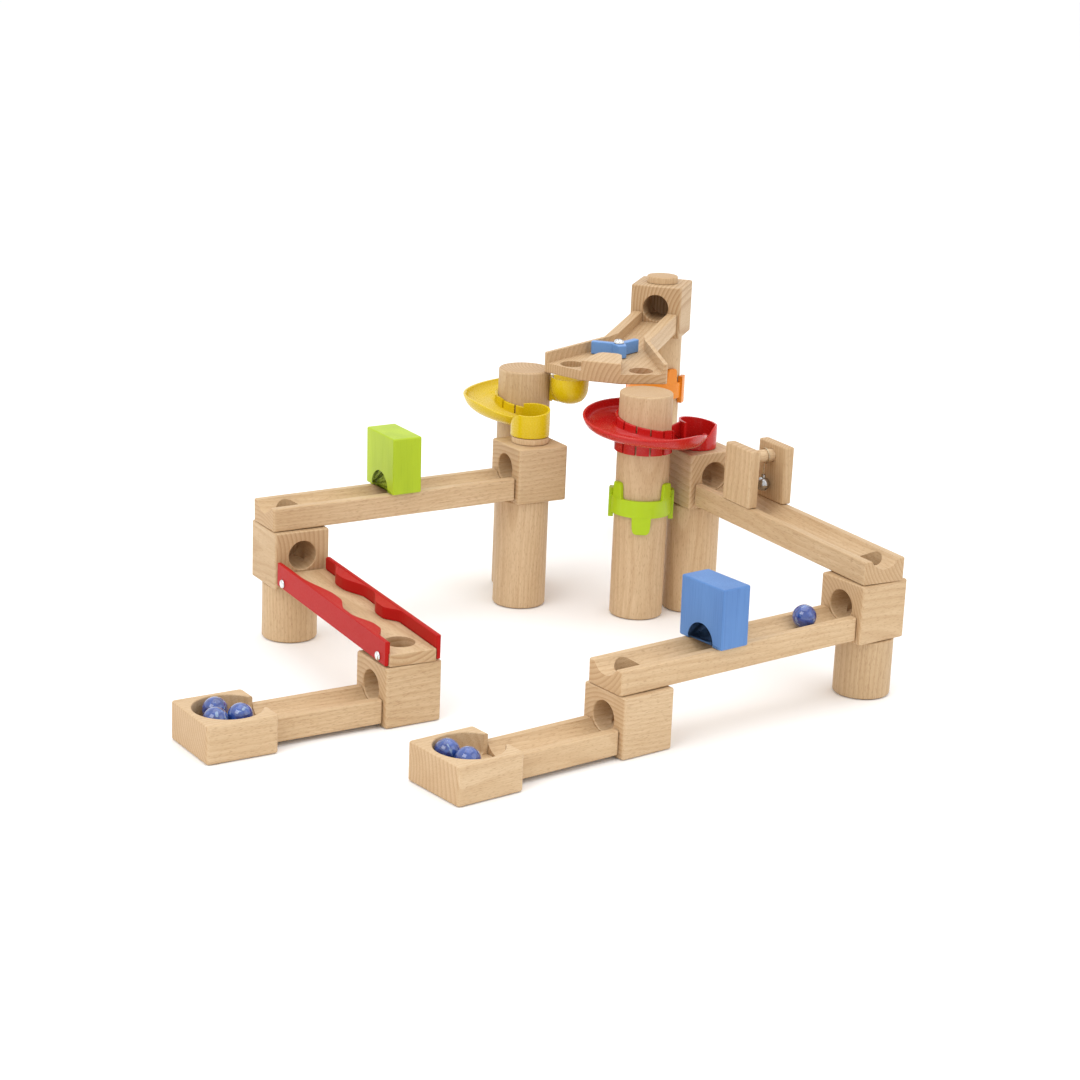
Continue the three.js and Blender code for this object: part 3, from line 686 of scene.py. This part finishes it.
def zigzag_rail(side, bumps, reach):
    """A skirt screwed to the board's edge, joined to the wavy part that lies on the board."""
    x0, x1 = RAIL_START, BOARD_END - 0.5
    wall = rounded([(x0, RAIL_IN), (x1, RAIL_IN), (x1, RAIL_OUT), (x0, RAIL_OUT)], 0.7, 3)
    line = wave_line(bumps, reach, x0 + 0.4, x1 - 0.4) + [(x1 - 0.4, 18), (x0 + 0.4, 18)]
    skirt = shift(prism([(x, side * y) for x, y in wall], 16, 0.5, 3), 0, 0, 1)
    wave = shift(prism([(x, side * y) for x, y in line], 8, 0.35, 2), 0, 0, BOARD_T + GAP)
    rail = join(skirt, wave)
    for x in SCREW_X:
        rail = cut(rail, shift(turn(rod(1.9, 0, 6, 24), "X", 90), x, side * 18 + 3, SCREW_Z))
    return rail


board = block(BOARD_START, BOARD_END, RAMP_W, BOARD_T, 0.8)
board = join(board, cutter(BOARD_START - 5.5, BOARD_START + 2, -7.2, 7.2, 0.3, 4.5))
board = cut(board, shift(rod(BORE_R, -1, 10, 64), distance(LEFT_MID, LEFT_LOW), 0, 0))
METAL = chrome("chrome_bright")
SCREW = [(0, 0), (1.4, 0), (1.4, 6.6), (3, 6.6), (2.9, 7.1), (2.4, 7.6), (1.4, 7.9), (0, 8)]
for x, end in zip(SCREW_X, ("upper", "lower")):
    for side, edge in ((-1, "near"), (1, "far")):
        board = cut(board, shift(turn(rod(1.7, 12.7, 18, 24), "X", -90 * side), x, 0, SCREW_Z))
        screw = shift(turn(turned(SCREW, 32), "X", -90 * side), x, side * 13.2, SCREW_Z)
        piece("screw_" + edge + "_" + end, lay(screw, ZIGZAG), METAL)
piece("zigzag_board", lay(board, ZIGZAG), beech("beech_zigzag", ZIGZAG, False, 41.3, 0.97, 0.4))
RED_RAIL = plastic("red_rail", (0.43, 0.010, 0.008), (0.36, 0.007, 0.006), 0.42, 0.12)
# Where each bump starts to rise, is at its height, starts to fall and is level again, along the board.
FAR_BUMPS = ((36, 58, 64, 90), (98, 120, 127, 141))
NEAR_BUMPS = ((55, 96, 103, 124), (133, 157, 163, 177))
piece("zigzag_rail_far", lay(zigzag_rail(1, FAR_BUMPS, 8.6), ZIGZAG), RED_RAIL)
piece("zigzag_rail_near", lay(zigzag_rail(-1, NEAR_BUMPS, 10), ZIGZAG), RED_RAIL)


# ---------- arch blocks ----------
def arch():
    w, r = ARCH_HALF, ARCH_BORE_R
    points = [(-w, 0), (-r, 0), (-r, 1)]
    for k in range(1, 36):
        y, z = polar(r, 180 - 5 * k)
        points.append((y, z + 1))
    points += [(r, 1), (r, 0), (w, 0), (w, ARCH_HIGH), (-w, ARCH_HIGH)]
    body = prism(rounded(points, 1.3, 4), ARCH_ALONG, 1.1, 4)
    stood_up = Matrix(((0, 0, 1, -ARCH_ALONG / 2), (1, 0, 0, 0), (0, 1, 0, 0), (0, 0, 0, 1)))
    return moved(body, stood_up)


ARCH_MESH = arch()
for name, a, b, back, base, dark in (
    ("arch_green", LEFT_TOP, LEFT_MID, 79, (0.42, 0.55, 0.008), (0.31, 0.43, 0.006)),
    ("arch_blue", RIGHT_MID, RIGHT_LOW, 67, (0.095, 0.225, 0.50), (0.07, 0.175, 0.42)),
):
    place = long_frame(a, b)
    me = lay(shift(ARCH_MESH, distance(a, b) - back, 0, RAMP_H + GAP), place)
    piece(name, me, paint("paint_" + name, base, dark, place))


# ---------- bell gate ----------
GATE = long_frame(RIGHT_TOP, RIGHT_MID)


def on_gate(me):
    return lay(shift(me, GATE_PLACE, 0, RAMP_H + GAP), GATE)


for side, name, seed in ((-1, "gate_board_near", 51.7), (1, "gate_board_far", 52.3)):
    body = block(-GATE_ALONG / 2, GATE_ALONG / 2, GATE_THICK, GATE_HIGH, 1)
    body = shift(body, 0, side * (GATE_INNER + GATE_THICK / 2), 0)
    socket = turn(rod(DOWEL_R + GAP, -5, GATE_INNER + 5 + GAP, 48), "X", -90 * side)
    body = cut(body, shift(socket, 0, 0, DOWEL_Z))
    piece(name, on_gate(body), beech("beech_" + name, GATE, True, seed, 0.96, 0.35))
dowel = shift(turn(rod(DOWEL_R, -GATE_INNER - 5, GATE_INNER + 5), "X", 90), 0, 0, DOWEL_Z)
dowel_place = (GATE[0], GATE[1] + 90, 0.0)
piece("gate_dowel", on_gate(dowel), beech("beech_dowel", dowel_place, False, 53.9, 1.0, 0.3))


def bell():
    """A jingle bell: a hollow ball with a raised seam, a drilled lug on top and a crossed slit below."""
    room = BELL_R - BELL_WALL
    outer, inner = [(0, -BELL_R)], [(0, -room)]
    for k in range(1, 30):
        a = -90 + 6 * k
        seam = 0.16 if abs(a) > 6 else 0.0
        r, z = polar(1, a)
        outer.append(((BELL_R - seam) * r, BELL_R * z))
        inner.append((room * r, room * z))
    outer.append((0, BELL_R))
    inner.append((0, room))
    shell = cut(turned(outer, 48), turned(inner, 48))
    shell = join(shell, rod(1.5, BELL_R - 0.5, BELL_R + 1.8, 24))
    shell = cut(shell, rod(0.8, BELL_R + 0.5, BELL_R + 3, 20))
    slit = cutter(-0.6, 0.6, -4.5, 4.5, -6, -0.5)
    return cut(shell, slit, turn(slit, "Z", 90))


def torus(radius, tube, around=48, section=16):
    verts, faces = [], []
    for i in range(around):
        a = 2 * math.pi * i / around
        for k in range(section):
            b = 2 * math.pi * k / section
            r = radius + tube * math.cos(b)
            verts.append((r * math.cos(a), r * math.sin(a), tube * math.sin(b)))
            i2, k2 = (i + 1) % around, (k + 1) % section
            faces.append((i * section + k, i2 * section + k, i2 * section + k2, i * section + k2))
    return mesh_from(verts, faces)


hanger = turn(torus(WIRE_LOOP, WIRE_R), "X", 90)
hanger = join(hanger, rod(WIRE_R, -BELL_DROP + BELL_R + 0.8, 0.1 - WIRE_LOOP, 20))
piece("bell_hanger", on_gate(shift(hanger, 0, BELL_Y, DOWEL_Z)), chrome("chrome_wire", 0.6, 0.3, 0.84))
piece("bell_shell", on_gate(shift(bell(), 0, BELL_Y, DOWEL_Z - BELL_DROP)), chrome("chrome_bell", 0.46, 0.2))
pellet = [(0, -1.5)] + [polar(1.5, -90 + 15 * k) for k in range(1, 12)] + [(0, 1.5)]
piece("bell_ball", on_gate(shift(turned(pellet, 24), 0, BELL_Y, DOWEL_Z - BELL_DROP - 2.4)), METAL)


# ---------- spirals ----------
def channel_floor(angle):
    """How high the channel's underside is, at an angle from the cup."""
    return 16.6 - 0.000165 * angle * angle


def channel_rim(angle):
    """How high the channel's outer wall reaches: it falls in two smooth steps."""
    return 29 - 9.8 * ease((angle - 20) / 170) - 7 * ease((angle - 225) / 65)


def channel_section(angle, inside):
    """One cross section of the channel, or of the hollow that is cut out of it."""
    f = channel_floor(angle)
    rim = channel_rim(angle)
    if inside:
        side = [(21.3, rim + 16), (21.3, f + 5), (21.9, f + 3.9), (23.4, f + 2.8), (25.6, f + 2.1)]
        side += [(28.5, f + 1.8), (33.6, f + 1.8), (36.2, f + 2.2), (38.6, f + 3.2), (40.6, f + 4.8)]
        side += [(41.8, f + 6.7), (42.3, f + 8.2), (42.7, rim - 0.5), (43.1, rim), (43.1, rim + 16)]
    else:
        side = [(20, rim), (20, f + 3), (21.2, f + 1.6), (23, f + 0.7), (25.4, f + 0.2), (28, f), (34, f)]
        side += [(36.8, f + 0.4), (39.4, f + 1.5), (41.6, f + 3.2), (43, f + 5.2), (43.8, f + 6.9)]
        side += [(44.3, rim - 1.6), (44.5, rim - 0.5), (44.2, rim)]
    return [polar(r, angle, z) for r, z in side]


def channel(inside):
    return swept([channel_section(a, inside) for a in range(0, 289, 4)])


def collar_band(a0, a1, bottom, top):
    """A band round the column; bottom and top give its edges at an angle."""
    loops = []
    for a in range(a0, a1 + 1, 5):
        t, b = top(a), bottom(a)
        side = [(COLLAR_IN, t), (COLLAR_OUT - 0.4, t), (COLLAR_OUT, t - 0.4), (COLLAR_OUT, b), (COLLAR_IN, b)]
        loops.append([polar(r, a, z) for r, z in side])
    return swept(loops)


def drop_ring():
    """The ring the marble drops through: its rim is tilted and falls away towards the channel."""
    ring = turned([(0, 0), (RING_OUT - 0.4, 0), (RING_OUT, 0.4), (RING_OUT, 22), (0, 22)], 72)
    over = turn(turn(cutter(-30, 30, -30, 30, 0, 30), "Y", 7.7), "Z", SWEEP - 25)
    fall = []
    for k in range(17):
        a = SWEEP - 107 + 4 * k
        z = 8 + 8.6 * ease(k / 16)
        fall.append([polar(18, a, z), polar(10, a, z), polar(10, a, 40), polar(18, a, 40)])
    return cut(ring, shift(over, 0, 0, 18.2), swept(fall))


def cup_profile(points, top):
    """A smooth curve through a few (radius, z) points, carried up to top and closed on the axis."""
    out = [points[0]]
    for i in range(len(points) - 1):
        p0 = Vector(points[max(i - 1, 0)])
        p1, p2 = Vector(points[i]), Vector(points[i + 1])
        p3 = Vector(points[min(i + 2, len(points) - 1)])
        bend = 2 * p0 - 5 * p1 + 4 * p2 - p3
        twist = 3 * p1 - p0 - 3 * p2 + p3
        for k in range(1, 5):
            t = k / 4
            q = 0.5 * (2 * p1 + (p2 - p0) * t + bend * t * t + twist * t ** 3)
            out.append((q.x, q.y))
    return out + [(out[-1][0], top), (0, top)]


def guide_wall():
    """A short wall from the end of the collar out to the ring, which turns the marble towards the hole."""
    loops = []
    for k in range(9):
        r = 20 + 11 * k / 8
        top = 15.5 + 3.9 * k / 8
        side = [(0.8, top - 0.3), (0.5, top), (-0.5, top), (-0.8, top - 0.3), (-0.8, 3), (0.8, 3)]
        loops.append([(r, y, z) for y, z in side])
    return turn(swept(loops), "Z", SWEEP + 4)


def spiral(skirt_end):
    """A cup that feeds a falling channel round a collar, which ends in a drop ring."""
    cup = turned(cup_profile([(0, 16.6), (6, 17.4), (10.5, 20), (13.2, 25), (13.8, 31)], 36), 64)
    hollow = turned(cup_profile([(0, 18.4), (5.4, 19.1), (9.4, 21.4), (11.7, 26), (12.2, 31)], 45), 64)
    ring_in = turned([(0, 2.2), (11.6, 2.2), (12.4, 3.2), (12.4, 30), (0, 30)], 72)
    ring_in = join(ring_in, rod(9.6, -1, 3, 56))
    cup_at, ring_at = polar(CUP_R, 0, 0), polar(RING_R, SWEEP, 0)
    body = join(channel(False), shift(cup, *cup_at), shift(drop_ring(), *ring_at))
    body = cut(body, channel(True), shift(hollow, *cup_at), shift(ring_in, *ring_at))
    body = join(
        body,
        collar_band(0, 300, channel_floor, lambda a: 32.4 - 0.0615 * a),
        collar_band(85, skirt_end, lambda a: 1.6, lambda a: channel_floor(a) + 1),
    )
    body = cut(join(body, guide_wall()), rod(COLLAR_IN, -2, 60, 96))
    for a in range(75, 276, 28):
        foot = channel_floor(a)
        body = cut(body, turn(cutter(18, 22, -0.6, 0.6, foot + 5.2, 50), "Z", a))
        if 90 < a < skirt_end:
            body = cut(body, turn(cutter(18, 23, -0.7, 0.7, 0, foot - 0.3), "Z", a))
    return body


# The aim is the heading of each spiral's drop ring, and z the height of its underside.
RED = plastic("red_plastic", (0.52, 0.012, 0.010), (0.42, 0.008, 0.006), 0.22)
YELLOW = plastic("yellow_plastic", (0.66, 0.47, 0.004), (0.56, 0.38, 0.003), 0.26)
for name, spot, aim, z, skirt_end, look in (
    ("spiral_red", FRONT_TALL, 28, 120.3, 245, RED),
    ("spiral_yellow", LEFT_TALL, 277.4, 124.6, 195, YELLOW),
):
    piece(name, lay(spiral(skirt_end), flat_frame((spot[0], spot[1], z), aim - SWEEP)), look)
ring_z = LEFT_TOP[2] + CUBE + GAP
spacer = [(0, 0), (13.1, 0), (13.4, 0.4), (13.4, 3.5), (13.1, 4), (0, 4)]
spacer = cut(turned([(r, ring_z + z) for r, z in spacer]), rod(BORE_R, ring_z - 1.3, ring_z + 5.7))
spacer = shift(spacer, LEFT_TOP[0], LEFT_TOP[1], 0)
piece("spacer_ring", spacer, beech("beech_spacer", flat_frame(LEFT_TOP, 0), True, 61.4, 1.04, 0.3))


# ---------- clips ----------
def wrapped(outline, inner, outer):
    """An outline in (degrees, z), bent round the Z axis between two radii, with softened outer edges."""
    finer = []
    for i, p in enumerate(outline):
        q = outline[(i + 1) % len(outline)]
        parts = max(1, round(abs(q[0] - p[0]) / 3))
        finer += [(p[0] + (q[0] - p[0]) * k / parts, p[1] + (q[1] - p[1]) * k / parts) for k in range(parts)]
    arc = math.radians(outer)
    flat = [(a * arc, z) for a, z in finer]
    if area2(flat) < 0:
        flat, finer = flat[::-1], finer[::-1]
    levels = ((inner - 0.6, 0.0), (outer - 0.5, 0.0), (outer - 0.15, 0.15), (outer, 0.5))
    loops = []
    for r, d in levels:
        loops.append([polar(r, p[0] / arc, p[1]) for p in (inset(flat, d) if d else flat)])
    return swept(loops)


def clip():
    """A sprung band with two tapered prongs above, a thumb tongue below and a thick hook at each end."""
    body = sector(CLIP_IN, CLIP_OUT, -105, 105, BAND_LOW, BAND_HIGH, 72, 0.5)
    foot = BAND_HIGH - 2
    prong = [(40, foot), (42.5, BAND_HIGH + 0.2), (43.6, 26.2), (44.2, 29), (44.6, 32), (45.6, 34.2)]
    prong += [(47.6, 35.5), (50.5, 36), (63.5, 36), (66.4, 35.5), (68.4, 34.2), (69.4, 32), (69.8, 29)]
    prong += [(70.4, 26.2), (71.5, BAND_HIGH + 0.2), (74, foot)]
    for side in (-1, 1):
        body = join(body, wrapped([(side * a, z) for a, z in prong], CLIP_IN, CLIP_OUT))
        a0, a1 = sorted((84 * side, 104 * side))
        body = join(body, sector(CLIP_IN + 0.4, CLIP_OUT + 1.4, a0, a1, HOOK_LOW, HOOK_HIGH, 10, 0.6))
    right = [(10, 0), (13, 0.4), (16.5, 2), (18, 5), (19, BAND_LOW + 1)]
    thumb = [(-a, z) for a, z in reversed(right)] + right
    return cut(join(body, wrapped(thumb, CLIP_IN, CLIP_OUT)), rod(CLIP_IN, -1, 40, 96))


CLIP_MESH = clip()
GREEN = plastic("green_plastic", (0.40, 0.56, 0.004), (0.30, 0.44, 0.003), 0.34)
ORANGE = plastic("orange_plastic", (0.76, 0.24, 0.012), (0.64, 0.17, 0.008), 0.34)
for name, spot, z, yaw, look in (
    ("clip_green", FRONT_TALL, 64.3, 270, GREEN),
    ("clip_orange", BACK_TALL, 103, -111, ORANGE),
):
    piece(name, lay(CLIP_MESH, flat_frame((spot[0], spot[1], z), yaw)), look)


# ---------- switch ----------
def mirrored(points):
    """The right half of an outline with its mirror image across X."""
    return points + [(x, -y) for x, y in reversed(points)]


def switch_block():
    """A Y-shaped block with a pocket for the lever and a drop hole in each arm."""
    outline = rounded(mirrored([(167, 15), (153.5, 46), (90, 17.5), (0, 17.5)]), 1.6, 5)
    body = join(prism(outline, SWITCH_T, 0.9, 4), cutter(-5.5, 2, -7.2, 7.2, 0.4, 3.8))
    pocket = [(-1, 10), (78, 10), (90.3, 13.5), (168, 48.9), (190, 40), (190, 19.5), (150, 11), (141, 8.6)]
    pocket = mirrored(pocket + [(138.6, 6), (138, 3)])
    body = cut(body, shift(prism(pocket, 12), 0, 0, SWITCH_FLOOR), shift(rod(2, 1.6, 12, 24), PIN_S, 0, 0))
    return cut(body, *[shift(rod(8.7, -1, 10, 56), 150.5, side * 25.5, 0) for side in (-1, 1)])


def switch_lever():
    """Two arms that open upstream and a short nose that points downstream, turned about the pin."""
    body = prism(rounded([(-4, -5), (9, -3.2), (9, 3.2), (-4, 5)], 1.0, 3), LEVER_T, 0.7, 3)
    for side in (-1, 1):
        body = join(body, turn(block(-1, 20.5, 5, LEVER_T, 0.7), "Z", side * 122))
    hub = turned([(0, 0), (4.4, 0), (5, 0.6), (5, LEVER_T - 0.6), (4.4, LEVER_T), (0, LEVER_T)], 40)
    body = turn(cut(join(body, hub), rod(2, -1, 12, 32)), "Z", LEVER_REST)
    return shift(body, PIN_S, 0, SWITCH_FLOOR + 0.4)


SWITCH_WOOD = beech("beech_switch", SWITCH_FRAME, False, 71.9, 0.98, 0.4)
piece("switch_block", lay(switch_block(), SWITCH_FRAME), SWITCH_WOOD)
BLUE = plastic("blue_plastic", (0.13, 0.28, 0.58), (0.10, 0.22, 0.48), 0.3)
piece("switch_lever", lay(switch_lever(), SWITCH_FRAME), BLUE)
top = SWITCH_FLOOR + LEVER_T + 0.7
pin = [(0, 2), (1.7, 2), (1.7, top), (3.8, top), (3.8, top + 0.6), (3.4, top + 1.6)]
pin += [(2.6, top + 2.3), (1.4, top + 2.7), (0, top + 2.8)]
slot = cutter(-0.35, 0.35, -3, 3, top + 1.9, top + 4)
pin = cut(turned(pin, 40), slot, turn(slot, "Z", 90))
piece("switch_pin", lay(shift(pin, PIN_S, 0, 0), SWITCH_FRAME), METAL)


# ---------- marbles ----------
def marble():
    """A ball with a small flat where the glass was cut off."""
    rings = [polar(MARBLE_R, -90 + 5 * k) for k in range(1, 36)]
    pontil = (1.2, -MARBLE_R + 0.12)
    return turned([(0, -MARBLE_R + 0.16), pontil] + rings[1:] + [(0, MARBLE_R)], 72)


MARBLE_MESH = marble()
MARBLES = [("marble_left_%d" % k, 80.0 + k * 3.7) for k in (1, 2, 3)]
MARBLES += [("marble_right_%d" % k, 90.0 + k * 3.7) for k in (1, 2)] + [("marble_rolling", 97.3)]
for name, seed in MARBLES:
    low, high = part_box(name)
    centre = (low + high) * 500 - SHIFT
    tilt = Euler((seed, seed * 1.3, seed * 0.7)).to_matrix().to_4x4()
    ball = moved(MARBLE_MESH, Matrix.Translation(centre) @ tilt)
    piece(name, ball, glass_marble("glass_" + name, seed), 60)


# ---------- floor, light and camera ----------
FLOOR_HALF = 9
floor_corners = [(x * FLOOR_HALF, y * FLOOR_HALF, 0) for x, y in ((-1, -1), (1, -1), (1, 1), (-1, 1))]
floor = mesh_from(floor_corners, [(0, 1, 2, 3)])
ground = bpy.data.objects.new("floor", floor)
ground.location.z = -0.0004
bpy.context.scene.collection.objects.link(ground)
pale = Look("floor")
pale.set(Base_Color=(0.97, 0.97, 0.97), Roughness=0.9, Specular_IOR_Level=0.1)
floor.materials.append(pale.material)

world = bpy.data.worlds.new("studio")
world.use_nodes = True
sky = world.node_tree.nodes["Background"].inputs
sky["Color"].default_value = (1, 1, 1, 1)
sky["Strength"].default_value = 1.04
bpy.context.scene.world = world
bpy.context.scene.view_settings.view_transform = "Standard"


def softbox(name, place, target, size, power):
    """A rectangular area light at a place, turned towards a target, all in metres and watts."""
    data = bpy.data.lights.new(name, "AREA")
    data.shape = "RECTANGLE"
    data.size, data.size_y = size
    data.energy = power
    lamp = bpy.data.objects.new(name, data)
    lamp.location = place
    lamp.rotation_euler = (Vector(target) - Vector(place)).to_track_quat("-Z", "Y").to_euler()
    bpy.context.scene.collection.objects.link(lamp)


softbox("key", (-1.3, -1.5, 1.9), (0, 0, 0.05), (1.6, 1.2), 17)
softbox("fill", (1.8, -0.9, 1.3), (0, 0, 0.05), (1.4, 1.4), 5)
softbox("overhead", (0.1, 0.3, 2.3), (0, 0, 0), (2.2, 2.2), 15)

# The camera looks along Y, tipped down and rolled a little; the eye is in millimetres in the plan's frame.
PITCH, ROLL = math.radians(16.47), math.radians(2.34)
SENSOR, FOCAL = 36, 84.666667
EYE = (-20, -1712, 568.8)
right0, up0 = Vector((1, 0, 0)), Vector((0, math.sin(PITCH), math.cos(PITCH)))
right = right0 * math.cos(ROLL) + up0 * math.sin(ROLL)
up = up0 * math.cos(ROLL) - right0 * math.sin(ROLL)
back = right.cross(up)
eye = (Vector(EYE) + SHIFT) * 0.001
camera_data = bpy.data.cameras.new("camera")
camera_data.sensor_width = SENSOR
camera_data.lens = FOCAL
camera = bpy.data.objects.new("camera", camera_data)
camera.matrix_world = Matrix.Translation(eye) @ Matrix((right, up, back)).transposed().to_4x4()
bpy.context.scene.collection.objects.link(camera)
bpy.context.scene.camera = camera

bpy.context.view_layer.update()
